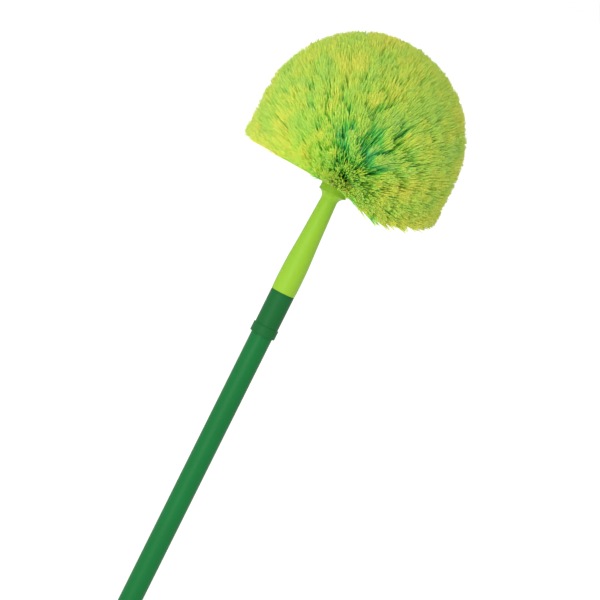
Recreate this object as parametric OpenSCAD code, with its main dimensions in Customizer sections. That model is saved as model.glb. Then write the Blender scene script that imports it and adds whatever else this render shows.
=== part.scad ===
// Domed cobweb brush on a two-section telescopic pole, shown closed.
// Z runs up the pole towards the brush, and the origin is the middle of the end cap's foot.

/* [Poles] */
// Outside diameter of the outer tube
outer_od = 22; // [19:0.5:28]
// Wall of the outer tube
outer_wall = 0.5; // [0.4:0.1:1]
// Length of the outer tube
outer_len = 589; // [450:1:900]
// Gap between the outer tube's bore and the inner tube, all round
tube_gap = 1; // [0.8:0.1:1.6]
// Wall of the inner tube
inner_wall = 0.5; // [0.4:0.1:1]

/* [Collar] */
// Height of the collar, from the ring's foot to the lip
collar_h = 44.2; // [30:0.2:70]
// Wall of the collar's sleeve over the tube
collar_wall = 1.05; // [0.8:0.05:2]
// Height of the thicker ring at the collar's foot
ring_h = 9.5; // [5:0.5:14]
// How far the ring stands out from the sleeve
ring_step = 0.95; // [0.4:0.05:2.5]
// Thickness of the lip that closes the collar over the tube's mouth
lip_h = 2.2; // [1.4:0.1:4]
// Length of the guide bush in the tube's mouth
bush_len = 25; // [12:1:40]

/* [End cap] */
// Height of the cap below the tube
cap_h = 32; // [26:1:50]
// How far the cap's shoulder stands out from the tube
cap_step = 0.5; // [0:0.1:2]
// Height of the cap's shoulder band
cap_band_h = 4; // [2:0.5:8]
// Length of the plug inside the tube
cap_plug_len = 20; // [12:1:40]
// Radius of the flat foot
foot_r = 6; // [4:0.5:9]
// Thickness of the flat tongue round the hanging hole
tongue_t = 9; // [6:0.5:14]
// Diameter of the hanging hole
hang_d = 9; // [6:0.5:12]
// Height of the hanging hole's centre above the foot
hang_z = 12.5; // [10:0.5:16]

/* [Lock] */
// Length of each plug that is pressed into the inner tube
plug_len = 30; // [20:1:45]
// Thickness of the lock plug's flange
plug_flange_h = 3; // [2:0.5:6]
// Diameter of the lock spindle
spindle_d = 8; // [6:0.5:9]
// Lead of the spindle's coarse thread, for each turn
spindle_lead = 2; // [1:0.25:3]
// Turns from free to locked
lock_turns = 0.75; // [0.5:0.05:1]
// Length of the split expander
expander_len = 30; // [24:1:45]
// Gap between the expander and the outer tube's bore before it is spread
expander_gap = 0.3; // [0.2:0.05:0.5]
// Slots that split the expander
expander_slots = 4; // [2:2:6]
// Width of each slot
slot_w = 1.6; // [1:0.1:3]
// Length of the cone nut
cone_len = 18; // [14:1:24]
// Radius lost for each millimetre of the cone's length
cone_slope = 0.2; // [0.1:0.02:0.3]
// Height of the stop nut
nut_h = 4; // [3:0.5:6]
// Width of the stop nut across its flats
nut_af = 13; // [11:0.5:15]
// Gap between the end cap's plug and the spindle's end
lock_room = 3.2; // [1:0.2:60]

/* [Head moulding] */
// Diameter of the threaded tip and its socket
thread_d = 19; // [16:0.5:21]
// Length of the threaded tip above its shoulder
thread_len = 26; // [18:1:34]
// Thickness of the tip's shoulder
shoulder_h = 1.8; // [1:0.1:4]
// Wall of the socket round the thread
socket_wall = 2.6; // [2:0.1:5]
// How far the socket swells above its mouth
barrel_swell = 0.3; // [0:0.05:1]
// Length of the stem from the socket's mouth to the neck
stem_len = 100.6; // [70:0.2:150]
// Diameter of the neck under the flare
neck_d = 16.6; // [13:0.2:22]
// Radius of the flare under the rim
flare_r = 8; // [5:0.5:12]
// Diameter of the sharp rim
rim_d = 28.6; // [26:0.2:40]
// Wall left round the hollow in the stem
stem_wall = 3.4; // [2:0.1:5]
// Height of the bare wall between the rim and the first tufts
bare_h = 4; // [2:0.5:8]
// Diameter of the block that carries the tufts
block_d = 28.1; // [24:0.1:36]
// Height of the straight part of the block
block_straight = 34; // [20:1:50]
// Height of the block's rounded nose
nose_h = 28; // [16:1:40]

/* [Bristles] */
// Radius of the trimmed dome, at its tips
dome_r = 104.6; // [80:0.2:140]
// Height of the dome's middle above the first tufts
dome_centre = 56.7; // [30:0.1:70]
// Height of the skirt's lower edge above the first tufts
skirt_low = 12.7; // [0:0.1:25]
// How strongly the tufts crowd towards the skirt
crowding = 1.4; // [1:0.05:1.8]
// Distance between tuft holes round the block
hole_pitch = 9; // [7:0.5:14]
// Distance between strand tips round the dome
strand_pitch = 21.2; // [20:0.5:40]
// Share of its tips' spread that a tuft has at its hole
tuft_gather = 0.5; // [0.3:0.05:0.7]
// How deep a strand is set in the block
root_depth = 1.4; // [1.2:0.1:2]
// Side of a strand at its root
strand_root = 0.9; // [0.6:0.1:1.2]
// Side of a strand at its trimmed tip
strand_tip = 4.2; // [2:0.1:5]
// Share of its own place that a strand's tip strays within
tip_scatter = 0.25; // [0:0.05:0.5]
// How far the skirt droops at its lowest place
droop = 20; // [0:1:25]
// Direction from the axis of the drooping tufts
droop_at = -55; // [-180:5:180]

/* [Fits] */
// Gap between a piece and the tube or socket that holds it fast
held_gap = 0.05; // [0.02:0.01:0.1]
// Gap between a shaft and the bore that it runs in
running_gap = 0.06; // [0.04:0.01:0.1]
// Gap between the tuft rings and the post that they sit on
post_gap = 0.15; // [0.1:0.05:0.3]

/* [Hidden] */
$fn = 96;
RINGS = 8;
ROWS = 2;
BORED_RINGS = 6;
WIDE_RINGS = 5;
TOP_SIDES = 9;
TOP_TURN = 8;
CROWN_DEPTH = 0.8;

outer_r = outer_od / 2;
outer_bore = outer_r - outer_wall;
inner_r = outer_bore - tube_gap;
inner_bore = inner_r - inner_wall;
sleeve_r = outer_r + held_gap + collar_wall;
thread_r = thread_d / 2;
spindle_r = spindle_d / 2;
block_r = block_d / 2;

// heights up the pole, each worked out from the piece below
tube_z = cap_h;
tube_top = tube_z + outer_len;
collar_top = tube_top + lip_h;
collar_z = collar_top - collar_h;
socket_z = collar_top + shoulder_h;
lock_travel = spindle_lead * lock_turns;
spindle_end = 3;
spindle_grip = 20;
cone_stands_out = 8;
spindle_z = cap_h + cap_plug_len + lock_room;
nut_z = spindle_z + spindle_end;
cone_z = nut_z + nut_h;
expander_z = cone_z + cone_stands_out;
flange_z = expander_z + expander_len;
inner_z = flange_z + plug_flange_h;

// the cone nut: a straight foot, the cone, and a straight head
cone_foot_h = 3;
cone_head_h = 3;
cone_foot_r = outer_bore - 1.9;
cone_head_r = cone_foot_r - cone_slope * (cone_len - cone_foot_h - cone_head_h);

// heights up the head, measured from the socket's mouth
rim_h = stem_len + sqrt(flare_r * flare_r - pow(neck_d / 2 + flare_r - rim_d / 2, 2));
rim_edge = 1.2;
tufts_h = rim_h + rim_edge + bare_h;
tufts_z = socket_z + tufts_h;
socket_r = thread_r + held_gap;
socket_depth = thread_len + 2;
stem_r = socket_r + socket_wall;

// length of the block's side, from its foot round to its nose
core_len = block_straight + 1.15 * nose_h + 0.12 * block_r;

// the post that the tuft rings sit on, up to the last bored ring
post_r = 5.35;
post_h = core_at(BORED_RINGS / RINGS)[1];

LIME = [0.61, 0.79, 0.24];
TUFT_LIME = [0.68, 0.82, 0.27];
DARK_GREEN = [0.14, 0.44, 0.23];
PAINT_GREEN = [0.13, 0.50, 0.25];
STEEL = [0.72, 0.73, 0.75];
NATURAL = [0.90, 0.89, 0.84];
GREY = [0.45, 0.46, 0.48];

// a point on a cubic curve through four control points
function cubic(p, t) =
    pow(1 - t, 3) * p[0] + 3 * t * pow(1 - t, 2) * p[1] + 3 * t * t * (1 - t) * p[2] + pow(t, 3) * p[3];

// points on an arc in the plane of a profile, from one angle to another
function arc(centre, r, from, to, steps) =
    [for (i = [0:steps]) let (a = from + (to - from) * i / steps) centre + r * [cos(a), sin(a)]];

// a repeatable number from 0 to 1 for each whole number
function scatter(k) = let (s = sin(k * 127.1 + 37) * 437.585) s - floor(s);

// a tube or ring between two heights
module tube(r_out, r_in, z0, z1) {
    difference() {
        translate([0, 0, z0]) cylinder(r = r_out, h = z1 - z0);
        translate([0, 0, z0 - 1]) cylinder(r = r_in, h = z1 - z0 + 2);
    }
}

// Steel tube, painted, that the hand holds
module outer_tube() {
    color(PAINT_GREEN) tube(outer_r, outer_bore, tube_z, tube_top);
}

// Moulded cap with a flat foot, a hanging hole across its tongue and a ribbed plug in the tube
module end_cap() {
    band_r = outer_r + cap_step;
    band_z = cap_h - cap_band_h;
    plug_r = outer_bore - held_gap;
    foot_curve = [[foot_r, 0], [band_r - 1, 0.5], [band_r, band_z * 0.45], [band_r, band_z]];
    color(DARK_GREEN) difference() {
        rotate_extrude() polygon(concat(
            [[0, 0]],
            [for (i = [0:8]) cubic(foot_curve, i / 8)],
            [[band_r, cap_h - 0.6], [band_r - 0.6, cap_h], [plug_r, cap_h]],
            [[plug_r, cap_h + cap_plug_len - 2], [plug_r - 1, cap_h + cap_plug_len]],
            [[plug_r - 2.5, cap_h + cap_plug_len], [plug_r - 3, cap_h + 2], [0, cap_h + 2]]
        ));
        for (side = [-1, 1]) tongue_flat(side, band_z);
        translate([-outer_od, 0, hang_z]) rotate([0, 90, 0]) cylinder(d = hang_d, h = 2 * outer_od);
    }
}

// what is taken off one side of the cap to leave its tongue, with a rounded run-out
module tongue_flat(side, band_z) {
    run_out = outer_r + cap_step - tongue_t / 2;
    translate([side * (tongue_t / 2 + outer_r), 0, band_z / 2 - 1 - run_out / 2])
        cube([2 * outer_r, 2 * outer_od, band_z + 2 - run_out], center = true);
    translate([side * (tongue_t / 2 + run_out), outer_od, band_z - run_out])
        rotate([90, 0, 0]) cylinder(r = run_out, h = 2 * outer_od);
}

// Moulded collar on the outer tube's mouth: a sleeve, a thicker ring at its foot and a lip over the tube
module collar() {
    ring_r = sleeve_r + ring_step;
    bore_r = outer_r + held_gap;
    lip_r = inner_r + 0.4;
    round = 0.5;
    color(DARK_GREEN) rotate_extrude() polygon(concat(
        [[bore_r, collar_z], [ring_r - round, collar_z], [ring_r, collar_z + round]],
        [[ring_r, collar_z + ring_h - round], [ring_r - round, collar_z + ring_h]],
        [[sleeve_r - 0.2, collar_z + ring_h], [sleeve_r, collar_top - 0.3], [sleeve_r - 0.3, collar_top]],
        [[lip_r, collar_top], [lip_r, tube_top], [bore_r, tube_top]]
    ));
}

// Low-friction bush that the inner tube slides in, held in the tube's mouth under the collar's lip
module guide_bush() {
    r_out = outer_bore - held_gap;
    r_in = inner_r + running_gap;
    foot = tube_top - bush_len;
    color(NATURAL) rotate_extrude() polygon([
        [r_in + 0.4, foot], [r_out, foot], [r_out, tube_top], [r_in, tube_top], [r_in, foot + 2]
    ]);
}

// Inner tube, which slides and turns in the bush
module inner_tube() {
    color(STEEL) tube(inner_r, inner_bore, inner_z, collar_top);
}

// Plug in the foot of the inner tube, whose flange runs in the outer tube's bore
module lock_plug() {
    shank_r = inner_bore - held_gap;
    flange_r = outer_bore - 0.2;
    color(DARK_GREEN) difference() {
        rotate_extrude() polygon([
            [0, flange_z], [flange_r - 0.6, flange_z], [flange_r, flange_z + 0.6], [flange_r, inner_z],
            [shank_r, inner_z], [shank_r, inner_z + plug_len - 2], [shank_r - 1, inner_z + plug_len],
            [0, inner_z + plug_len]
        ]);
        translate([0, 0, flange_z - 1]) cylinder(r = spindle_r + held_gap, h = spindle_grip + 1);
    }
}

// Coarse screw that is moulded fast in the plug and draws the cone nut up
module lock_spindle() {
    color(STEEL) translate([0, 0, spindle_z]) {
        cylinder(r1 = spindle_r - 0.8, r2 = spindle_r, h = 0.8);
        translate([0, 0, 0.8]) cylinder(r = spindle_r, h = flange_z + spindle_grip - spindle_z - 0.8);
    }
}

// Hexagon nut fixed on the spindle's end, which the cone rests on when the lock is free
module spindle_nut() {
    color(STEEL) translate([0, 0, nut_z]) difference() {
        cylinder(d = nut_af / cos(30), h = nut_h, $fn = 6);
        translate([0, 0, -1]) cylinder(r = spindle_r + held_gap, h = nut_h + 2);
    }
}

// Cone nut on the spindle, with ribs that run in the expander's slots and stop it turning
module lock_cone() {
    bore_r = spindle_r + running_gap;
    rib_w = slot_w - 0.5;
    rib_r = outer_bore - 0.9;
    rib_h = cone_len - cone_foot_h;
    color(NATURAL) translate([0, 0, cone_z]) difference() {
        union() {
            rotate_extrude() polygon([
                [0, 0], [cone_foot_r - 0.5, 0], [cone_foot_r, 0.5], [cone_foot_r, cone_foot_h],
                [cone_head_r, cone_len - cone_head_h], [cone_head_r, cone_len], [0, cone_len]
            ]);
            for (side = [0, 180]) rotate([0, 0, side])
                translate([0, -rib_w / 2, cone_foot_h / 2]) cube([rib_r, rib_w, rib_h]);
        }
        translate([0, 0, -1]) cylinder(r = bore_r, h = cone_len + 2);
    }
}

// Split sleeve that the cone spreads against the outer tube's bore; it slides and never turns
module lock_expander() {
    r_out = outer_bore - expander_gap;
    web_h = 4;
    seat = running_gap;
    // the cavity is the cone's own shape where it ends its travel, and its gap
    foot_h = cone_z + cone_foot_h + lock_travel - expander_z;
    head_h = foot_h + cone_len - cone_foot_h - cone_head_h;
    mouth_r = cone_foot_r + cone_slope * foot_h + seat;
    groove = 0.4;
    color(GREY) translate([0, 0, expander_z]) difference() {
        rotate_extrude() polygon([
            [mouth_r, 0], [r_out - 0.5, 0], [r_out, 0.5], [r_out, expander_len - 0.5],
            [r_out - 0.5, expander_len], [spindle_r + running_gap, expander_len],
            [spindle_r + running_gap, expander_len - web_h], [cone_head_r + seat, expander_len - web_h],
            [cone_head_r + seat, head_h]
        ]);
        for (i = [0:expander_slots - 1]) rotate([0, 0, i * 360 / expander_slots])
            translate([0, -slot_w / 2, -1]) cube([outer_bore, slot_w, expander_len - web_h - 2]);
        for (i = [1:5]) translate([0, 0, i * expander_len / 7]) difference() {
            cylinder(r = outer_bore, h = 1);
            translate([0, 0, -1]) cylinder(r = r_out - groove, h = 3);
        }
    }
}

// Moulded tip: a shank pressed in the inner tube, a shoulder on its mouth and the head's thread
module threaded_tip() {
    shank_r = inner_bore - held_gap;
    hollow_r = shank_r - 3;
    color(DARK_GREEN) rotate_extrude() polygon([
        [hollow_r, collar_top - plug_len], [shank_r - 1, collar_top - plug_len],
        [shank_r, collar_top - plug_len + 2], [shank_r, collar_top], [sleeve_r - 0.3, collar_top],
        [sleeve_r, collar_top + 0.3], [sleeve_r, socket_z - 0.2], [sleeve_r - 0.2, socket_z],
        [thread_r, socket_z], [thread_r, socket_z + thread_len - 1.5],
        [thread_r - 1.5, socket_z + thread_len], [0, socket_z + thread_len],
        [0, socket_z + thread_len - 4], [hollow_r - 1, socket_z + thread_len - 4]
    ]);
}

// Head moulding: socket, tapering stem, flare, sharp rim and the post inside the tuft rings
module head_body() {
    neck_r = neck_d / 2;
    rim_r = rim_d / 2;
    barrel_r = stem_r + barrel_swell;
    taper_from = 60;
    taper_r = neck_r + 0.05 * (stem_len - taper_from);
    shoulder_curve = [[barrel_r, 8], [barrel_r, 36], [taper_r + 1, 42], [taper_r, taper_from]];
    flare_centre = [neck_r + flare_r, stem_len];
    flare_end = 180 - asin((rim_h - stem_len) / flare_r);
    hollow_top = stem_len - 6;
    hollow_r = socket_r - 2;
    color(LIME) translate([0, 0, socket_z]) difference() {
        union() {
            rotate_extrude() polygon(concat(
                [[0, hollow_top], [neck_r - stem_wall, hollow_top], [hollow_r, socket_depth + 2]],
                [[socket_r, socket_depth], [socket_r, 0.8], [socket_r + 0.8, 0]],
                [[stem_r - 0.4, 0], [stem_r, 0.4]],
                [for (i = [0:10]) cubic(shoulder_curve, i / 10)],
                arc(flare_centre, flare_r, 180, flare_end, 8),
                [[rim_r, rim_h + rim_edge * 0.6], [rim_r - 0.5, rim_h + rim_edge]],
                [[block_r, rim_h + rim_edge], [block_r, tufts_h], [0, tufts_h]]
            ));
            translate([0, 0, tufts_h - 1]) cylinder(r = post_r, h = post_h + 1);
        }
        translate([0, 0, tufts_h]) anchors(held_gap);
    }
}

// Flat wire anchors that each hold a tuft in its hole, driven into the post
module tuft_anchors() {
    color(STEEL) translate([0, 0, tufts_z]) anchors(0);
}

// every anchor, with a gap all round for the slots that they sit in
module anchors(gap) {
    wire_t = 0.5;
    wire_w = 2.2;
    wire_len = 2.6;
    for (ring = [0:BORED_RINGS])
        let (holes = holes_in(ring), h = min(core_at((ring + 0.5) / RINGS)[1], post_h - wire_w))
            for (i = [0:holes - 1]) rotate([0, 0, hole_angle(ring, i)])
                translate([post_r - wire_len - gap, -wire_t / 2 - gap, h - wire_w / 2 - gap])
                    cube([wire_len + 2 * gap, wire_t + 2 * gap, wire_w + 2 * gap]);
    translate([-2 - gap, -wire_t / 2 - gap, post_h - wire_w - gap])
        cube([4 + 2 * gap, wire_t + 2 * gap, wire_w + 2 * gap]);
}

// The block's side, from its foot at m = 0 to its nose at m = 1: radius and height
function core_angle(m) = max(0, (m * core_len - block_straight) / (core_len - block_straight) * 90);
function core_at(m) =
    [block_r * cos(core_angle(m)), min(m * core_len, block_straight) + nose_h * sin(core_angle(m))];
// which way the block's side faces there: outwards and upwards
function core_faces(m) =
    let (n = [cos(core_angle(m)) * nose_h, sin(core_angle(m)) * block_r]) n / norm(n);

// The trimmed dome, from the skirt's edge at m = 0 to its top at m = 1: radius and height
skirt_h = dome_centre - skirt_low;
dome_len = skirt_h + dome_r * PI / 2;
function dome_at(m) =
    let (s = pow(m, crowding) * dome_len, a = max(0, (s - skirt_h) / dome_r * 180 / PI))
        [dome_r * cos(a), skirt_low + min(s, skirt_h) + dome_r * sin(a)];

// holes in a ring of the block, and the angle of each
function holes_in(ring) = max(3, round(2 * PI * core_at((ring + 0.5) / RINGS)[0] / hole_pitch));
function hole_angle(ring, i) = (i + 0.5 * (ring % 2)) * 360 / holes_in(ring);

// strands whose tips lie round the dome at a place up its side
function strands_at(m) = max(3, round(2 * PI * dome_at(m)[0] / strand_pitch));

function around(p, angle) = [p[0] * cos(angle), p[0] * sin(angle), p[1]];

// one strand of three sides, which widens from its root in the block to its flagged and trimmed tip
module strand(root, tip) {
    way = tip - root;
    translate(root) rotate([0, acos(way[2] / norm(way)), atan2(way[1], way[0])])
        cylinder(r1 = strand_root / sqrt(3), r2 = strand_tip / sqrt(3), h = norm(way), $fn = 3);
}

// how far the skirt hangs lower at an angle round it
function droops(m, angle) =
    let (away = (angle - droop_at + 540) % 360 - 180)
        droop * exp(-pow(away / 20, 2)) * pow(max(0, 1 - m * RINGS / 2), 2);

// the strands of one row: each belongs to its nearest hole, gathered there and spread at its tip
module strand_row(ring, row) {
    m = (ring + (row + 0.5) / ROWS) / RINGS;
    hole_m = (ring + 0.5) / RINGS;
    root_m = hole_m + (m - hole_m) * tuft_gather;
    count = strands_at(m);
    pitch = 360 / holes_in(ring);
    shift = 0.5 * (ring % 2) * pitch;
    depth = ring < RINGS - 1 ? root_depth : root_depth * CROWN_DEPTH;
    for (i = [0:count - 1]) {
        key = i + 100 * (row + ROWS * ring);
        angle = (i + 0.5 * row + tip_scatter * (scatter(key) - 0.5)) * 360 / count;
        hole = round((angle - shift) / pitch) * pitch + shift;
        root_angle = hole + (angle - hole) * tuft_gather;
        tip_at = dome_at(m + tip_scatter * (scatter(key + 0.5) - 0.5) / RINGS / ROWS);
        faces = core_faces(root_m);
        strand(
            around(core_at(root_m) - depth * faces, root_angle),
            around(tip_at - [0, droops(m, angle)], angle)
        );
    }
}

// one ring of tufts with its slice of the block, fused into one mesh
module tuft_ring(ring) {
    low = core_at(ring / RINGS);
    high = core_at((ring + 1) / RINGS);
    // a slice has a flat for each hole, or higher up is turned so that its tufts clear its edges
    sides = ring < WIDE_RINGS ? holes_in(ring) : TOP_SIDES;
    turned = ring < WIDE_RINGS ? hole_angle(ring, 0.5) : TOP_TURN * (RINGS - ring);
    bore_r = ring < BORED_RINGS ? (post_r + post_gap) / cos(180 / sides) : 0;
    color(TUFT_LIME) translate([0, 0, tufts_z]) resize([0, 0, 0]) {
        rotate([0, 0, turned]) rotate_extrude($fn = sides) polygon(ring < RINGS - 1
            ? [[bore_r, low[1]], low, high, [bore_r, high[1]]]
            : [[0, low[1]], low, [0, high[1]]]);
        for (row = [0:ROWS - 1]) strand_row(ring, row);
    }
}

end_cap();
outer_tube();
collar();
guide_bush();
lock_expander();
lock_cone();
inner_tube();
lock_plug();
lock_spindle();
spindle_nut();
threaded_tip();
head_body();
tuft_anchors();
tuft_ring(0);  // tuft_ring_1
tuft_ring(1);  // tuft_ring_2
tuft_ring(2);  // tuft_ring_3
tuft_ring(3);  // tuft_ring_4
tuft_ring(4);  // tuft_ring_5
tuft_ring(5);  // tuft_ring_6
tuft_ring(6);  // tuft_ring_7
tuft_ring(7);  // tuft_crown
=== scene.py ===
# Cobweb brush on a two-section twist-lock pole: how each piece looks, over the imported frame.
# Sizes are in millimetres in the frame's own axes, with Z up the pole from the foot of the end cap,
# and become metres as each mesh is made.
import math

import bpy
import numpy as np
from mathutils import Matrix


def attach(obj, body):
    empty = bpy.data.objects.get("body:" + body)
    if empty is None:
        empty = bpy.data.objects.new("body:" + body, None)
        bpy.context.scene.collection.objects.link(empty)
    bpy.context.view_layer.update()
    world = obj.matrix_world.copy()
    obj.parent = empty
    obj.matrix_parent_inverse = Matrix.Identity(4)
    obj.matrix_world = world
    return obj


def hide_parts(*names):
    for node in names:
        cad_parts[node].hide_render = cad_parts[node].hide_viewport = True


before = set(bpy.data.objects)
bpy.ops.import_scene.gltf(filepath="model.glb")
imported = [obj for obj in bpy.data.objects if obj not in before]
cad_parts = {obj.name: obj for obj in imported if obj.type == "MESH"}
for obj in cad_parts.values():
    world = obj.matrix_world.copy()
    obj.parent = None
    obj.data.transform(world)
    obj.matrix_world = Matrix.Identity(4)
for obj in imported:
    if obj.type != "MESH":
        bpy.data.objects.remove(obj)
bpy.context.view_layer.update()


# End cap: a plug of dark green polypropylene, injection moulded and pressed into the foot of the
# pole. Its tongue is pierced to hang the brush by, and a spark-eroded mould leaves it evenly satin.
def linear(code):
    """The linear red, green, blue and alpha of an sRGB hex value."""
    srgb = [int(code[i:i + 2], 16) / 255 for i in (0, 2, 4)]
    return [c / 12.92 if c <= 0.04045 else ((c + 0.055) / 1.055) ** 2.4 for c in srgb] + [1]


def per_metre(size):
    """The Scale that gives a noise cells of the given size in millimetres."""
    return 1000 / size


def add(tree, kind, inputs=None, **settings):
    """A new node: settings are its own properties, and inputs the values or outputs that its sockets take."""
    made = tree.nodes.new(kind)
    for key, value in settings.items():
        setattr(made, key, value)
    for key, value in (inputs or {}).items():
        if isinstance(value, bpy.types.NodeSocket):
            tree.links.new(value, made.inputs[key])
        else:
            made.inputs[key].default_value = value
    return made


def finish_of(name, **sockets):
    """A new material, with its node tree and its one shader, on which the given sockets are set."""
    made = bpy.data.materials.new(name)
    made.use_nodes = True
    shader = made.node_tree.nodes["Principled BSDF"]
    for key, value in sockets.items():
        shader.inputs[key.replace("_", " ")].default_value = value
    return made, made.node_tree, shader


def moulded(name, colour, shade, grain, roughness=0.45, shine=0.5):
    """Moulded plastic: a colour that drifts towards its shade, under a spark texture of the given grain.

    The texture is one noise that moves the gloss, and the relief by a twentieth of the grain.
    """
    drift_size = 30
    made, tree, shader = finish_of(name, IOR=1.49, Specular_IOR_Level=shine)
    place = add(tree, "ShaderNodeTexCoord").outputs["Object"]
    drift = add(tree, "ShaderNodeTexNoise", {"Vector": place, "Scale": per_metre(drift_size), "Detail": 3.0})
    tint = add(tree, "ShaderNodeMix",
               {"Factor": drift.outputs["Fac"], "A": linear(colour), "B": linear(shade)}, data_type="RGBA")
    spark = add(tree, "ShaderNodeTexNoise", {"Vector": place, "Scale": per_metre(grain), "Detail": 2.0})
    gloss = add(tree, "ShaderNodeMapRange", {"Value": spark.outputs["Fac"], "To Min": roughness - 0.05,
                                             "To Max": roughness + 0.07})
    relief = add(tree, "ShaderNodeBump", {"Height": spark.outputs["Fac"], "Strength": 0.35,
                                          "Distance": grain / 20 / 1000})
    tree.links.new(tint.outputs["Result"], shader.inputs["Base Color"])
    tree.links.new(gloss.outputs["Result"], shader.inputs["Roughness"])
    tree.links.new(relief.outputs["Normal"], shader.inputs["Normal"])
    return made


def dress(material, *nodes):
    """Gives CAD nodes a material in place of their own."""
    for name in nodes:
        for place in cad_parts[name].material_slots:
            place.material = material


# Satin and waxy, with little shine. The real texture is near 0.1 mm, drawn at 0.6 mm so that it shows.
green_polypropylene = moulded("moulded green polypropylene", "1E6D36", "185E2D", grain=0.6, shine=0.1)
dress(green_polypropylene, "end_cap")


# Outer tube: thin steel strip, rolled and welded, in a green powder coat. The coat is satin, with a
# faint orange peel, and the weld leaves a low line down the back of the pole.
def rounded(corners, radius, steps=4):
    """The closed outline through corners, each cut back by radius on both sides, with a parabola between."""
    corner = np.asarray(corners, float)
    back, on = np.roll(corner, 1, 0) - corner, np.roll(corner, -1, 0) - corner
    long_back, long_on = (np.linalg.norm(v, axis=1, keepdims=True) for v in (back, on))
    cut = np.minimum(radius, np.minimum(long_back, long_on) * 0.49)
    start, end = corner + back / long_back * cut, corner + on / long_on * cut
    t = np.linspace(0, 1, steps + 1)[None, :, None]
    curve = (1 - t) ** 2 * start[:, None] + 2 * t * (1 - t) * corner[:, None] + t ** 2 * end[:, None]
    return curve.reshape(-1, 2)


def mesh_of(name, points, faces, material):
    """An object of points in millimetres and faces, shaded smooth up to sharp edges of 35 degrees."""
    made = bpy.data.meshes.new(name)
    made.from_pydata(points.reshape(-1, 3) / 1000, [], faces)
    made.shade_smooth()
    made.set_sharp_from_angle(angle=math.radians(35))
    made.materials.append(material)
    piece = bpy.data.objects.new(name, made)
    bpy.context.collection.objects.link(piece)
    return piece


def turned(name, profile, material, columns=128, swell=None, ring=True):
    """A profile of radius and height turned about the pole: (r, z) at angle a goes to (r cos a, r sin a, z).

    swell gives what each place adds to the radius. A ring's profile is closed, and any other ends in two
    flat discs. The profile runs up the outside and down the inside, so that faces point out.
    """
    r, z = (np.asarray(profile, float)[:, k:k + 1] for k in (0, 1))
    a = np.linspace(0, 2 * np.pi, columns, endpoint=False)[None, :]
    if swell:
        r = r + swell(a, z, r)
    points = np.stack(np.broadcast_arrays(r * np.cos(a), r * np.sin(a), z), axis=-1)
    rows = len(points)
    i, j = np.meshgrid(np.arange(rows if ring else rows - 1), np.arange(columns), indexing="ij")
    up, on = (i + 1) % rows, (j + 1) % columns
    faces = np.stack([i * columns + j, i * columns + on, up * columns + on, up * columns + j],
                     axis=-1).reshape(-1, 4).tolist()
    if not ring:
        first, last = list(range(columns))[::-1], [(rows - 1) * columns + k for k in range(columns)]
        faces += [first, last]
    return mesh_of(name, points, faces, material)


def ridge(angle, at, width, height):
    """A low rounded line up a turned piece at one angle: a bell curve of the angle away from it."""
    away = (angle - at + np.pi) % (2 * np.pi) - np.pi
    return height * np.exp(-(away / width) ** 2)


# Smooth and a little glossier than plastic. The colour drifts over 60 mm and the orange peel is
# 1.6 mm across.
powder_coat, tree, shader = finish_of("satin green powder coat", IOR=1.5, Specular_IOR_Level=0.12)
place = add(tree, "ShaderNodeTexCoord").outputs["Object"]
drift = add(tree, "ShaderNodeTexNoise", {"Vector": place, "Scale": per_metre(60), "Detail": 4.0})
tint = add(tree, "ShaderNodeMix",
           {"Factor": drift.outputs["Fac"], "A": linear("15773A"), "B": linear("166B33")}, data_type="RGBA")
peel = add(tree, "ShaderNodeTexNoise", {"Vector": place, "Scale": per_metre(1.6), "Detail": 1.0})
gloss = add(tree, "ShaderNodeMapRange", {"Value": drift.outputs["Fac"], "To Min": 0.36, "To Max": 0.5})
relief = add(tree, "ShaderNodeBump", {"Height": peel.outputs["Fac"], "Strength": 0.25, "Distance": 0.00003})
tree.links.new(tint.outputs["Result"], shader.inputs["Base Color"])
tree.links.new(gloss.outputs["Result"], shader.inputs["Roughness"])
tree.links.new(relief.outputs["Normal"], shader.inputs["Normal"])

tube_r, tube_bore_r = 11, 10.5
tube_foot, tube_mouth = 32, 621
weld_width, weld_height = 0.04, 0.08


def weld_line(a, z, r):
    """The weld's low line, up the back of the tube's outside."""
    return np.where(r > tube_r - 0.2, ridge(a, np.pi / 2, weld_width, weld_height), 0)


outer_tube = turned(
    "painted_tube",
    rounded([[tube_r, tube_foot], [tube_r, tube_mouth],
             [tube_bore_r, tube_mouth], [tube_bore_r, tube_foot]], 0.2),
    powder_coat, columns=256, swell=weld_line)
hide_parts("outer_tube")
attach(outer_tube, "outer_pole")


# Collar: a sleeve of the same dark polypropylene over the tube's mouth, with a thicker ring at its
# foot and a lip on top. It is pushed on and glued, and mould halves leave a line on each side.
collar_foot, collar_top = 579, 623.2
foot_ring_r, foot_ring_top = 13.05, 588.5
sleeve_r, sleeve_top_r = 12.0, 12.1
collar_bore_r, lip_bore_r = 11.05, 9.9


def two_lines(a, width, height):
    """The lines that the mould's halves leave, one on each side."""
    return ridge(a, 0, width, height) + ridge(a, np.pi, width, height)


sleeve = [[collar_bore_r, collar_foot], [foot_ring_r, collar_foot], [foot_ring_r, foot_ring_top],
          [sleeve_r, foot_ring_top], [sleeve_top_r, collar_top], [lip_bore_r, collar_top],
          [lip_bore_r, tube_mouth], [collar_bore_r, tube_mouth]]
collar = turned("moulded_collar", rounded(sleeve, 0.45), green_polypropylene,
                swell=lambda a, z, r: np.where(r > collar_bore_r + 0.45, two_lines(a, 0.05, 0.06), 0))
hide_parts("collar")
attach(collar, "outer_pole")


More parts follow.
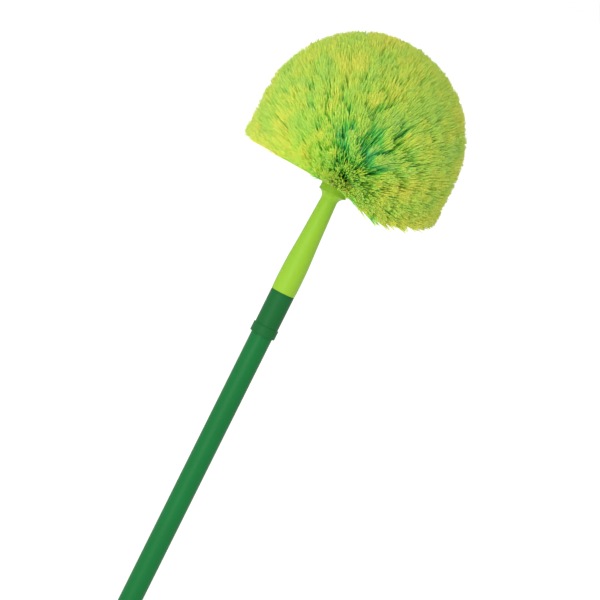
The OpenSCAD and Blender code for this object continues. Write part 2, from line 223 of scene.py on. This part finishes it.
# Twist lock: a split nylon sleeve, a cone nut and a guide bush of natural acetal, all hidden in the
# tube. They are small mouldings with a smoother surface than the parts that a hand holds.
# Nylon is dull and slightly rough to look at; acetal is whiter, closer and slicker.
grey_nylon = moulded("moulded grey nylon", "74777B", "6A6D72", grain=0.5, roughness=0.5)
natural_acetal = moulded("moulded natural acetal", "E6E3D6", "DAD6C6", grain=0.4, roughness=0.38)
dress(grey_nylon, "lock_expander")
dress(natural_acetal, "lock_cone", "guide_bush")
dress(green_polypropylene, "lock_plug")


# Inner tube: bright steel, drawn through a die that leaves fine lines along it and a clear surface.
# It slides and turns inside the outer tube, and shows once the pole is pulled out.
def drawn_steel(name, colour, roughness, line):
    """Bare metal with lines along Z, that many millimetres apart, that vary its gloss and its relief."""
    made, tree, shader = finish_of(name, Metallic=1.0)
    place = add(tree, "ShaderNodeTexCoord").outputs["Object"]
    along = add(tree, "ShaderNodeMapping", {"Vector": place, "Scale": (1, 1, 0.01)}).outputs["Vector"]
    lines = add(tree, "ShaderNodeTexNoise", {"Vector": along, "Scale": per_metre(line), "Detail": 3.0})
    tint = add(tree, "ShaderNodeMix",
               {"Factor": lines.outputs["Fac"], "A": linear(colour), "B": linear("8E9297")}, data_type="RGBA")
    gloss = add(tree, "ShaderNodeMapRange", {"Value": lines.outputs["Fac"], "To Min": roughness - 0.06,
                                             "To Max": roughness + 0.1})
    relief = add(tree, "ShaderNodeBump", {"Height": lines.outputs["Fac"], "Strength": 0.2, "Distance": 0.00002})
    tree.links.new(tint.outputs["Result"], shader.inputs["Base Color"])
    tree.links.new(gloss.outputs["Result"], shader.inputs["Roughness"])
    tree.links.new(relief.outputs["Normal"], shader.inputs["Normal"])
    return made


# Nearly a mirror, drawn out into long soft streaks. Real die lines are finer, drawn at 0.5 mm to show.
bright_steel = drawn_steel("drawn bright steel", "CACCCF", 0.28, line=0.5)
inner_foot, inner_r, inner_bore_r = 103.2, 9.5, 9
inner_tube = turned(
    "steel_inner_tube",
    rounded([[inner_r, inner_foot], [inner_r, collar_top], [inner_bore_r, collar_top],
             [inner_bore_r, inner_foot]], 0.15), bright_steel)
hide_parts("inner_tube")
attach(inner_tube, "inner_pole")


# Lock spindle and stop nut: zinc plated steel. The spindle is rolled with a coarse thread of 2 mm
# lead, which draws the cone nut into the split sleeve as the pole is twisted.
def thread(angle, height, lead, depth, foot, head):
    """How far a right-hand thread is cut into a shaft between foot and head.

    It is a flat-topped wave of the height less the angle's share of the lead, fading at both ends.
    """
    wave = np.clip(1.5 * np.cos(2 * np.pi * height / lead - angle), -1, 1)
    fade = np.clip((height - foot) / lead, 0, 1) * np.clip((head - height) / lead, 0, 1)
    return -depth * (0.5 + 0.5 * wave) * fade


# A grey, slightly bluish metal with a softer shine than the bare tube.
zinc_plate = drawn_steel("zinc plated steel", "B9BCC2", 0.34, line=0.8)
spindle_r, spindle_lead, spindle_cut = 4, 2, 0.5
spindle_heights = np.arange(56, 100.01, spindle_lead / 8)
spindle_outline = np.concatenate([
    [[3.2, 55.2]],
    np.stack([np.full_like(spindle_heights, spindle_r), spindle_heights], axis=1),
    [[spindle_r, 119.8], [3.6, 120.2]]])
spindle = turned(
    "threaded_spindle", spindle_outline, zinc_plate, columns=48, ring=False,
    swell=lambda a, z, r: np.where(z > 57, thread(a, z, spindle_lead, spindle_cut, 58, 98), 0))
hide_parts("lock_spindle")
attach(spindle, "inner_pole")
dress(zinc_plate, "spindle_nut", "tuft_anchors")


# Threaded tip: dark polypropylene, pressed into the inner tube. Its shoulder closes on the collar
# and its coarse thread of 5 mm lead takes the brush head.
head_foot = 625
tip_thread_r, tip_lead, tip_cut = 9.5, 5, 0.9
tip_heights = np.arange(head_foot + 0.5, head_foot + 24.6, 0.4)
tip_outline = np.concatenate([
    rounded([[7.95, 593.2], [8.95, 595.2], [8.95, collar_top - 0.02],
             [sleeve_top_r, collar_top], [sleeve_top_r, head_foot],
             [tip_thread_r, head_foot], [tip_thread_r, head_foot + 0.2]], 0.2, 3)[4:],
    np.stack([np.full_like(tip_heights, tip_thread_r), tip_heights], axis=1),
    [[8, 651], [5, 651]]])
tip = turned(
    "threaded_tip_moulding", tip_outline, green_polypropylene, ring=False,
    swell=lambda a, z, r: np.where(z > head_foot + 1, thread(a, z, tip_lead, tip_cut, head_foot + 2, 650), 0))
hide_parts("threaded_tip")
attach(tip, "inner_pole")


# Brush head: one lime polypropylene moulding, with a threaded socket, a stem that narrows to the
# neck, a flare up to a sharp rim, and the rounded block that the tufts are stapled into.
block_r, block_straight, nose = 14.05, 34, 28
tufts_foot = 738.55
stem_len, neck_r, flare_r, rim_r = 100.6, 8.3, 8, 14.3
socket_r, socket_depth = 9.55, 28
barrel_r, taper_from = 12.45, 60
taper_r = neck_r + 0.05 * (stem_len - taper_from)

# the barrel narrows to the taper in an S, a cubic curve between two heights
t = np.linspace(0, 1, 25)[:, None]
shoulder = ((1 - t) ** 3 * [barrel_r, 8] + 3 * t * (1 - t) ** 2 * [barrel_r, 36]
            + 3 * t ** 2 * (1 - t) * [taper_r + 1, 42] + t ** 3 * [taper_r, taper_from])
# the flare is part of a circle that starts straight up from the neck and ends at the rim's radius
rise = math.sqrt(flare_r ** 2 - (neck_r + flare_r - rim_r) ** 2)
turn = np.linspace(np.pi, np.pi - math.asin(rise / flare_r), 17)
flare = np.stack([neck_r + flare_r + flare_r * np.cos(turn), stem_len + flare_r * np.sin(turn)], axis=1)
rim = stem_len + rise
# the block's nose is a quarter of an ellipse
bend = np.linspace(0, np.pi / 2 * 0.985, 24)
block_top = tufts_foot - head_foot + block_straight
bullet = np.stack([block_r * np.cos(bend), block_top + nose * np.sin(bend)], axis=1)
head_outline = np.concatenate([
    [[neck_r - 3.4, stem_len - 6], [socket_r - 2, socket_depth + 2], [socket_r, socket_depth], [socket_r, 1.0],
     [9.75, 0.4], [10.35, 0], [11.6, 0], [11.9, 0.1], [12.1, 0.35], [12.15, 0.7]],
    shoulder, flare,
    [[rim_r + 0.05, rim + 0.3], [rim_r + 0.05, rim + 0.8], [rim_r - 0.1, rim + 1.1], [block_r, rim + 1.4]],
    bullet]) + [0, head_foot]


def stem_lines(a, z, r):
    """The mould's two lines up the stem, which stop short of its ends and stay out of the socket."""
    on_stem = (z > head_foot + 0.5) & (z < head_foot + rim) & (r > neck_r - 0.1) & (r != socket_r)
    return np.where(on_stem, two_lines(a, 0.05, 0.09), 0)


# Satin and waxy like the dark parts, but brighter, so that light softens its edges.
lime_polypropylene = moulded("moulded lime polypropylene", "9AC932", "90C032", grain=0.6,
                             roughness=0.42, shine=0.2)
head = turned("brush_head_moulding", head_outline, lime_polypropylene, columns=160, swell=stem_lines,
              ring=False)
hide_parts("head_body")
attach(head, "inner_pole")


# Bristle: soft lime polyester filament, cut to length, folded at the middle and stapled into its
# hole as a tuft, then trimmed to a dome. Its ends are flagged, so each clump opens into a pale brush.
RINGS = 8
HOLES = [10, 10, 10, 10, 10, 8, 5, 3]
CLUMPS = [240, 290, 290, 290, 290, 285, 200, 80]
FIBRES = [12000, 14000, 14000, 14000, 14000, 13800, 9800, 4100]
CLUMP_MIN, CLUMP_MAX, CLUMP_USUAL = 22, 54, 38
# a fibre's steps on its way to the dome, and its thickness at each. Real fibres are near 0.25 mm and many
# times more, so these are drawn thicker, to fill the dome as they do.
STEPS, THICK = [0, 0.6, 1.0], [0.34, 0.74, 0.46]
# heights are above the block's foot
dome_r, dome_middle, skirt = 104.6, 56.7, 12.7
side_len = block_straight + 1.15 * nose + 0.12 * block_r
dome_len = dome_middle - skirt + dome_r * np.pi / 2
# the tufts have parted round one place on the dome, low in the front
PARTING = np.array([16, -103, 61])
PARTING_SIZE, PARTING_PUSH = 24, 14
# on the right they sag below the skirt, most at this angle, and less so over the spread on each side
SAG, SAG_AT, SAG_BEFORE, SAG_AFTER = 22, -58, 24, 32
CURL, LEAN = 1.8, 1.4
# a clump's disc, as a share of the clumps' spacing, and how much of it the clump has at its root
SPREAD, ROOT_SPREAD = 0.68, 0.10
# some clumps are short, by these shares of their length, and others are trimmed a little deeper, in mm
SHORT_SHARE, SHORT, TRIM = 0.24, (0.74, 0.97), (-2.6, 0.4)
# how far tone differs from one patch, hole, clump and fibre to the next, and how large a patch is, in mm
PATCH_TONE, HOLE_TONE, CLUMP_TONE, FIBRE_TONE, PATCH = 0.5, 0.35, 0.75, 0.4, 13


def block_side(m):
    """The block's side from foot (0) to nose (1): its radius and height, and which way it faces, out and up.

    It is a straight side, then a quarter of an ellipse.
    """
    a = np.clip((m * side_len - block_straight) / (side_len - block_straight), 0, 1) * np.pi / 2
    faces = np.stack([np.cos(a) * nose, np.sin(a) * block_r], axis=-1)
    at = np.stack([block_r * np.cos(a), np.minimum(m * side_len, block_straight) + nose * np.sin(a)], axis=-1)
    return at, faces / np.linalg.norm(faces, axis=-1, keepdims=True)


def dome_side(m):
    """The trimmed dome from skirt (0) to top (1): its radius and height, and the angle it has turned inwards.

    It is a straight skirt, then a quarter circle. Places crowd to the skirt.
    """
    s = m ** 1.4 * dome_len
    a = np.maximum(0, s - (dome_middle - skirt)) / dome_r
    height = skirt + np.minimum(s, dome_middle - skirt) + dome_r * np.sin(a)
    return np.stack([dome_r * np.cos(a), height], axis=-1), a


def swing(plane, angle):
    """Points of radius and height, swung to an angle about the pole: r to x and y, and height to z."""
    return np.stack([plane[..., 0] * np.cos(angle), plane[..., 0] * np.sin(angle), plane[..., 1]], axis=-1)


def unit(v):
    """Vectors at a length of 1."""
    return v / np.linalg.norm(v, axis=-1, keepdims=True)


def tuft_fibres(ring, clumps, fibres):
    """The fibres of one ring of tufts: points (fibre, step, corner, xyz), and along, depth and tone, which carry
    painted shade, for each.

    Clumps, and single fibres that fill up the number, lie scattered over the ring's band of the dome. Each
    belongs to its nearest hole and runs from it in a parabola that leaves the block square to its side, and
    its fibres part towards their tips. Tone drifts over the dome in waves, and from hole to hole.
    """
    rng = np.random.default_rng(900 + ring)
    sizes = rng.integers(CLUMP_MIN, CLUMP_MAX + 1, clumps)
    sizes = np.append(sizes, np.ones(fibres - sizes.sum(), int))
    clumped = sizes > 1
    k = np.arange(len(sizes))

    # places in the band: two even sequences, one for the share of its area and one for the angle, and a stray
    m_steps = np.linspace(ring / RINGS, (ring + 1) / RINGS, 65)
    band = dome_side(m_steps)[0]
    band_steps = np.linalg.norm(np.diff(band, axis=0), axis=1)
    area = np.cumsum(np.append(0, (band[1:, 0] + band[:-1, 0]) * band_steps)) * np.pi
    spacing = math.sqrt(area[-1] / clumps)
    stray = rng.normal(0, 0.4 * spacing, (2, len(k)))
    share = (0.5 + k * 0.7548776662) % 1 + stray[0] / band_steps.sum()
    m = np.interp(1 - np.abs(1 - np.abs(share)), area / area[-1], m_steps)
    angle = 2 * np.pi * ((rng.random() + k * 0.5698402910) % 1)
    angle = angle + stray[1] / np.maximum(20, dome_side(m)[0][:, 0])

    # each goes to its nearest hole, whose clumps draw together a little
    pitch = 2 * np.pi / HOLES[ring]
    shift = 0.5 * (ring % 2) * pitch
    which = np.round((angle - shift) / pitch).astype(int)
    hole = which % HOLES[ring]
    off = (angle - which * pitch - shift) * np.where(clumped, rng.uniform(0.92, 1.0, HOLES[ring])[hole], 1)
    angle = which * pitch + shift + off
    hole_m = (ring + 0.5) / RINGS
    root_at, root_faces = block_side(hole_m + (m - hole_m) * 0.55)
    root_angle = which * pitch + shift + off * 0.6
    root = swing(root_at - 2.5 * root_faces, root_angle)
    out = swing(root_faces, root_angle)

    # tips lean away from the parting, most at its size from its middle, so that the view goes deeper there;
    # single fibres stay and end lower down
    tip_at, tip_turn = dome_side(m)
    tip = swing(tip_at, angle)
    from_it = tip - PARTING
    away = np.linalg.norm(from_it * [0.65, 1, 1], axis=1) / PARTING_SIZE
    push = PARTING_PUSH * np.where(clumped, 1, 0.2) * away * np.exp(0.5 - 0.5 * away ** 2)
    push = push * np.random.default_rng(300 + ring).uniform(0.2, 1.1, len(k))
    tip = tip + unit(from_it) * push[:, None]
    tip[:, 2] = np.maximum(tip[:, 2], np.minimum(tip_at[:, 1], skirt + 4))
    parted = np.exp(-(away * PARTING_SIZE / 30) ** 2)
    stay = np.where(clumped, 1, 1 - 0.12 * parted)

    # the curve's knee lies half way up, partly on the straight line and partly straight out of the hole
    across = np.stack([-np.sin(angle), np.cos(angle), np.zeros_like(angle)], axis=-1)
    upwards = swing(np.stack([-np.sin(tip_turn), np.cos(tip_turn)], axis=-1), angle)
    reach = np.linalg.norm(tip - root, axis=-1, keepdims=True)
    way = (tip - root) / reach
    knee = root + 0.5 * reach * unit(0.62 * way + 0.38 * out)

    is_short = rng.random(len(k)) < SHORT_SHARE + 0.12 * parted
    short = stay * np.where(is_short, rng.uniform(*SHORT, len(k)), 1)
    # patches are the sum of six waves over the dome, in six fixed directions
    waves = np.random.default_rng(77).normal(0, 1 / PATCH, (6, 3))
    patch = np.sin(tip @ waves.T + np.arange(6) * 1.7).sum(axis=1) / math.sqrt(3)
    # lowering the tone round the parting is painted shade: it gives the hole there a deeper green
    tone_and_shade = (PATCH_TONE * patch + rng.normal(0, HOLE_TONE, HOLES[ring])[hole]
            + rng.normal(0, CLUMP_TONE, len(k)) - 0.8 * parted)
    lean = rng.normal(0, LEAN, (len(k), 2))
    off_sag = (np.degrees(angle) - SAG_AT + 540) % 360 - 180
    sag = SAG * np.exp(-(off_sag / np.where(off_sag < 0, SAG_BEFORE, SAG_AFTER)) ** 2)
    sag = sag * np.clip(1 - 2.6 * m, 0, 1) ** 1.3

    # each fibre's place in its clump's disc, which goes no lower than the skirt's own edge
    c = np.repeat(k, sizes)
    n = len(c)
    turn = rng.uniform(0, 2 * np.pi, n)
    disc = np.sqrt(rng.random(n))[:, None] * np.stack([np.cos(turn), np.sin(turn)], axis=1)
    disc = disc * np.where(clumped, np.sqrt(sizes / CLUMP_USUAL), 0)[c, None]
    curl = rng.normal(0, 1, (n, 3))
    sides = disc * (SPREAD - 0.04 * parted[c, None]) * spacing + lean[c]
    sides[:, 1] = np.maximum(sides[:, 1], skirt - 1.5 - tip_at[c, 1])
    fall = (sag[c] * rng.uniform(0.75, 1.08, n))[:, None]

    def path_at(t):
        """Where each fibre is, at a share t of the way to the dome."""
        path = (1 - t) ** 2 * root[c, None] + 2 * t * (1 - t) * knee[c, None] + t ** 2 * tip[c, None]
        part = ROOT_SPREAD + (1 - ROOT_SPREAD) * t ** 2.4
        path = path + part * (sides[:, None, :1] * across[c, None] + sides[:, None, 1:] * upwards[c, None])
        path = path + CURL * (np.clip(t - 0.5, 0, 1) / 0.5) ** 2 * curl[:, None]
        path[..., 2] -= fall * t[..., 0] ** 1.5
        return path

    # the dome is trimmed: whatever would stand out of it is cut off, some clumps a little deeper
    trim = rng.uniform(*TRIM, len(k))
    ends = path_at(np.ones((n, 1, 1)))[:, 0]
    over_middle = np.maximum(0, ends[:, 2] - dome_middle)
    excess = np.maximum(0, np.hypot(np.hypot(ends[:, 0], ends[:, 1]), over_middle) - dome_r - trim[c]
                        - rng.uniform(-0.8, 0.6, n))
    length = short[c] * (1 - 0.07 * rng.random(n) ** 2) * (1 - excess / reach[c, 0])
    steps = np.array(STEPS)
    t = (steps[None, :] * length[:, None])[..., None]
    path = path_at(t)

    # three corners round each step: thin at the root, thickest where it splits, and thinner at its end
    thick = rng.uniform(0.8, 1.2, n)[:, None] * np.array(THICK)
    front = unit(np.cross(way[c], rng.normal(0, 1, (n, 3))))
    side = np.cross(way[c], front)
    corner = np.array([0, 2 * np.pi / 3, 4 * np.pi / 3])[None, None, :, None]
    around = np.cos(corner) * front[:, None, None] + np.sin(corner) * side[:, None, None]
    points = path[:, :, None] + thick[..., None, None] / math.sqrt(3) * around
    points[..., 2] += tufts_foot

    # the depth that sets the painted shade is 1 at the dome and 0 at the root, but the lowest fibres are painted
    # as lit from below, up to their roots
    along = np.broadcast_to(steps[None, :, None] * stay[c, None, None], points.shape[:3])
    shade_share = np.clip(m / 0.36, 0, 1)[c, None, None] ** 2
    depth = np.broadcast_to(1 - (1 - t) * shade_share, points.shape[:3])
    tones_and_shade = np.broadcast_to((tone_and_shade[c] + rng.normal(0, FIBRE_TONE, n))[:, None, None], points.shape[:3])
    return points, along, depth, tones_and_shade


def fibre_mesh(name, points, values, material):
    """One object of all the fibres: each is a tube of three sides from step to step, closed at both ends."""
    n, steps = points.shape[:2]
    i, j = np.meshgrid(np.arange(steps - 1), np.arange(3), indexing="ij")
    on = (j + 1) % 3
    walls = np.stack([i * 3 + j, i * 3 + on, (i + 1) * 3 + on, (i + 1) * 3 + j], axis=-1).reshape(-1)
    last = (steps - 1) * 3
    one = np.concatenate([walls, [0, 2, 1], [last, last + 1, last + 2]])
    starts = np.concatenate([np.arange(0, len(walls), 4), [len(walls), len(walls) + 3]])
    corners = (one[None, :] + np.arange(n)[:, None] * steps * 3).reshape(-1)
    begins = (starts[None, :] + np.arange(n)[:, None] * len(one)).reshape(-1)

    made = bpy.data.meshes.new(name)
    made.vertices.add(n * steps * 3)
    made.vertices.foreach_set("co", (points / 1000).astype(np.float32).reshape(-1))
    made.loops.add(len(corners))
    made.loops.foreach_set("vertex_index", corners.astype(np.int32))
    made.polygons.add(len(begins))
    made.polygons.foreach_set("loop_start", begins.astype(np.int32))
    made.update(calc_edges=True)
    made.shade_smooth()
    for key, value in values.items():
        spots = made.attributes.new(key, "FLOAT", "POINT").data
        spots.foreach_set("value", value.astype(np.float32).reshape(-1))
    made.materials.append(material)
    piece = bpy.data.objects.new(name, made)
    bpy.context.collection.objects.link(piece)
    return piece


# The colour follows depth, and it is painted light and shade: part way down, the fibres are painted a
# darker cool green as shade, and deepest down a brighter cool green that paints light passed through the
# fibres and lifts their shadows. At the dome they are a pale lime, and the flagged ends scatter light and
# turn pale and yellowish. The stops are written at depths, where 1 is the dome, and the ramp holds up to
# RAMP_END.
RAMP_END = 1.2
DEPTH_SHADE_STOPS = [(0.15, "90F4B4"), (0.45, "84F0A0"), (0.70, "72E676"), (0.86, "7EEA5A"), (0.98, "B2F24C"),
         (1.12, "F2F65C")]
bristle, tree, shader = finish_of("flagged polyester bristle", IOR=1.57, Roughness=0.5, Specular_IOR_Level=0.3)
along, depth, tone_and_shade = (add(tree, "ShaderNodeAttribute", attribute_name=key).outputs["Fac"]
                      for key in ("along", "depth", "tone_and_shade"))
shifted = add(tree, "ShaderNodeMath", {0: tone_and_shade, 1: 0.12, 2: depth}, operation="MULTIPLY_ADD")
scaled = add(tree, "ShaderNodeMath", {0: shifted.outputs["Value"], 1: RAMP_END}, operation="DIVIDE")
ramp = add(tree, "ShaderNodeValToRGB", {"Fac": scaled.outputs["Value"]})
for spot, (where, code) in enumerate(DEPTH_SHADE_STOPS):
    stops = ramp.color_ramp.elements
    stop = stops[spot] if spot < 2 else stops.new(where / RAMP_END)
    stop.position = where / RAMP_END
    stop.color = linear(code)
flagged = add(tree, "ShaderNodeMapRange", {"Value": along, "From Min": 0.84, "From Max": 1.0, "To Max": 0.6},
              interpolation_type="SMOOTHSTEP")
paled = add(tree, "ShaderNodeMix", {"Factor": flagged.outputs["Result"], "A": ramp.outputs["Color"],
                                    "B": linear("F0F66C")}, data_type="RGBA")
tree.links.new(paled.outputs["Result"], shader.inputs["Base Color"])

for ring, (clumps, fibres) in enumerate(zip(CLUMPS, FIBRES)):
    node = f"tuft_ring_{ring + 1}" if ring < RINGS - 1 else "tuft_crown"
    points, along, depth, tone_and_shade = tuft_fibres(ring, clumps, fibres)
    tufts = fibre_mesh(node.replace("tuft", "bristles"), points, {"along": along, "depth": depth, "tone_and_shade": tone_and_shade},
                       bristle)
    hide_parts(node)
    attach(tufts, "inner_pole")


# Studio: a pale floor under the end cap, two soft square lamps on the camera's left, one a little
# above the brush and one low, and an even pale room. The camera looks along +Y from a little above,
# with a long lens, rolled so that the pole leans right.
def seen_itself(tree):
    """1 for what the camera sees, straight or in gloss or glass, and 0 for what only takes its light."""
    ray = add(tree, "ShaderNodeLightPath").outputs
    mirrored = add(tree, "ShaderNodeMath", {0: ray["Is Glossy Ray"], 1: ray["Is Transmission Ray"]},
                   operation="MAXIMUM")
    seen = add(tree, "ShaderNodeMath", {0: ray["Is Camera Ray"], 1: mirrored.outputs["Value"]},
               operation="MAXIMUM")
    return seen.outputs["Value"]


# Matt, so that it takes a shadow, and lifted by a glow of its own until it looks as white as the room.
FLOOR_GLOW = 0.45
floor_white, tree, shader = finish_of("matt white floor", Roughness=0.9)
shader.inputs["Base Color"].default_value = linear("F2F2F0")
shader.inputs["Emission Color"].default_value = linear("FFFFFF")
lift = add(tree, "ShaderNodeMath", {0: seen_itself(tree), 1: FLOOR_GLOW}, operation="MULTIPLY")
tree.links.new(lift.outputs["Value"], shader.inputs["Emission Strength"])
reach = 60000  # as far as the camera sees, so that it has no edge
floor_corners = np.array([[-reach, -reach, 0], [reach, -reach, 0], [reach, reach, 0], [-reach, reach, 0]], float)
floor = mesh_of("floor", floor_corners, [(0, 1, 2, 3)], floor_white)

ROOM_LIGHT = 0.74
room = bpy.data.worlds.new("pale room")
bpy.context.scene.world = room
room.use_nodes = True
tree = room.node_tree
strength = add(tree, "ShaderNodeMapRange", {"Value": seen_itself(tree), "To Min": ROOM_LIGHT, "To Max": 1.0})
tree.links.new(strength.outputs["Result"], tree.nodes["Background"].inputs["Strength"])
tree.nodes["Background"].inputs["Color"].default_value = linear("FFFFFF")


def aimed(thing, place, target, roll=0.0):
    """Puts a lamp or camera at a place, in metres, to look at a target, rolled about its line of sight."""
    made = bpy.data.objects.new(thing.name, thing)
    bpy.context.collection.objects.link(made)
    back = unit(np.array(place, float) - np.array(target, float))
    right = unit(np.cross([0, 0, 1], back))
    up = np.cross(back, right)
    turned_right = math.cos(roll) * right + math.sin(roll) * up
    turned_up = math.cos(roll) * up - math.sin(roll) * right
    rows = np.eye(4)
    rows[:3, :3] = np.stack([turned_right, turned_up, back], axis=1)
    rows[:3, 3] = place
    made.matrix_world = rows.T.tolist()
    return made


LAMP_SIDE = 1.2
for name, watts, place in [("softbox", 20, (-0.75, -2.35, 1.0)), ("low_fill", 10, (-0.7, -1.9, 0.15))]:
    lamp = bpy.data.lights.new(name, "AREA")
    lamp.shape, lamp.size, lamp.size_y, lamp.energy = "RECTANGLE", LAMP_SIDE, LAMP_SIDE, watts
    aimed(lamp, place, (0, 0, 0.75))

# the lens takes in the frame's width, in metres, at the distance of the target
lens = bpy.data.cameras.new("camera")
distance, elevation, lean_right = 6.0, math.radians(4.5), math.radians(26.46)
target, frame_width = np.array([0.0181, 0, 0.6261]), 0.5868
lens.sensor_width = 36
lens.lens = lens.sensor_width * distance / frame_width
lens.clip_end = 200
seat = target + distance * np.array([0, -math.cos(elevation), math.sin(elevation)])
bpy.context.scene.camera = aimed(lens, seat, target, roll=lean_right)
bpy.context.scene.view_settings.view_transform = "Standard"
